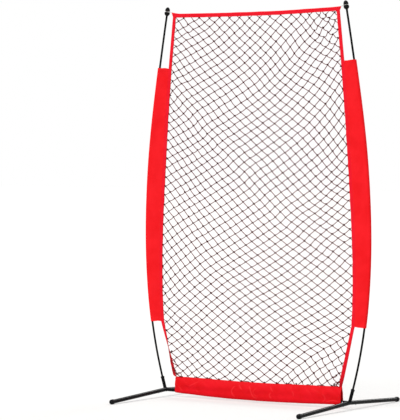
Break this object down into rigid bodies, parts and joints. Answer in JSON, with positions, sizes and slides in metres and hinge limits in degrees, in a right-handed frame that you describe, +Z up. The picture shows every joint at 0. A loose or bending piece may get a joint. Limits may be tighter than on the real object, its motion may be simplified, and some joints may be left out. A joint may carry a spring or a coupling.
{
  "type": "pitching target net",
  "caption": "Free-standing target net: knotted netting held upright between two bowed poles on a tube base with ball feet.",
  "frame": {"origin": "on the ground, midway between the two hubs of the base", "axes": "+Z up, +X across the net to the right seen from its front, +Y from the front to the back"},
  "size_m": [1.4491, 0.999, 2.133],
  "materials": {
    "tube_paint": "satin black powder coat",
    "cap_plastic": "satin black",
    "button_steel": "bright zinc plating",
    "spring_steel": "plain",
    "fibreglass": "semi-gloss black",
    "white_elastic": "plain",
    "black_netting": "knotted twine",
    "red_cloth": "coated woven cloth"
  },
  "bodies": {
    "frame_and_net": {"hub_left": "tube_paint", "hub_right": "tube_paint", "crossbar_left": "tube_paint", "crossbar_right": "tube_paint", "crossbar_spigot": "tube_paint", "foot_arm_front_left": "tube_paint", "foot_arm_back_left": "tube_paint", "foot_arm_front_right": "tube_paint", "foot_arm_back_right": "tube_paint", "foot_cap_front_left": "cap_plastic", "foot_cap_back_left": "cap_plastic", "foot_cap_front_right": "cap_plastic", "foot_cap_back_right": "cap_plastic", "button_springs": "spring_steel", "pole_section_1_left": "fibreglass", "pole_section_2_left": "fibreglass", "pole_section_3_left": "fibreglass", "pole_section_4_left": "fibreglass", "pole_section_1_right": "fibreglass", "pole_section_2_right": "fibreglass", "pole_section_3_right": "fibreglass", "pole_section_4_right": "fibreglass", "ferrule_1_left": "spring_steel", "ferrule_2_left": "spring_steel", "ferrule_3_left": "spring_steel", "ferrule_1_right": "spring_steel", "ferrule_2_right": "spring_steel", "ferrule_3_right": "spring_steel", "pole_tip_left": "cap_plastic", "pole_tip_right": "cap_plastic", "pole_collar_left": "cap_plastic", "pole_collar_right": "cap_plastic", "shock_cord_left": "white_elastic", "shock_cord_right": "white_elastic", "ball_cap_left": "cap_plastic", "ball_cap_right": "cap_plastic", "elastic_loop_left": "white_elastic", "elastic_loop_right": "white_elastic", "netting": "black_netting", "top_binding": "red_cloth", "side_binding_left": "red_cloth", "side_binding_right": "red_cloth", "pole_sleeve_left": "red_cloth", "pole_sleeve_right": "red_cloth", "bottom_sleeve": "red_cloth"},
    "button_crossbar_middle": {"button_crossbar_middle": "button_steel"},
    "button_crossbar_left": {"button_crossbar_left": "button_steel"},
    "button_front_left": {"button_front_left": "button_steel"},
    "button_back_left": {"button_back_left": "button_steel"},
    "button_crossbar_right": {"button_crossbar_right": "button_steel"},
    "button_front_right": {"button_front_right": "button_steel"},
    "button_back_right": {"button_back_right": "button_steel"}
  },
  "joints": [
    {"name": "button_crossbar_middle_press", "type": "slide", "parent": "frame_and_net", "child": "button_crossbar_middle", "axis": [0, 1, 0], "range_m": [0, 0.004], "stiffness_N_per_m": 1500, "springref_m": -0.003, "deforming": ["button_springs"]},
    {"name": "button_crossbar_left_press", "type": "slide", "parent": "frame_and_net", "child": "button_crossbar_left", "axis": [0, -1, 0], "range_m": [0, 0.004], "stiffness_N_per_m": 1500, "springref_m": -0.003, "deforming": ["button_springs"]},
    {"name": "button_front_left_press", "type": "slide", "parent": "frame_and_net", "child": "button_front_left", "axis": [0, -0.0523, 0.9986], "range_m": [0, 0.004], "stiffness_N_per_m": 1500, "springref_m": -0.003, "deforming": ["button_springs"]},
    {"name": "button_back_left_press", "type": "slide", "parent": "frame_and_net", "child": "button_back_left", "axis": [0, 0.0523, 0.9986], "range_m": [0, 0.004], "stiffness_N_per_m": 1500, "springref_m": -0.003, "deforming": ["button_springs"]},
    {"name": "button_crossbar_right_press", "type": "slide", "parent": "frame_and_net", "child": "button_crossbar_right", "axis": [0, 1, 0], "range_m": [0, 0.004], "stiffness_N_per_m": 1500, "springref_m": -0.003, "deforming": ["button_springs"]},
    {"name": "button_front_right_press", "type": "slide", "parent": "frame_and_net", "child": "button_front_right", "axis": [0, -0.0523, 0.9986], "range_m": [0, 0.004], "stiffness_N_per_m": 1500, "springref_m": -0.003, "deforming": ["button_springs"]},
    {"name": "button_back_right_press", "type": "slide", "parent": "frame_and_net", "child": "button_back_right", "axis": [0, 0.0523, 0.9986], "range_m": [0, 0.004], "stiffness_N_per_m": 1500, "springref_m": -0.003, "deforming": ["button_springs"]}
  ]
}
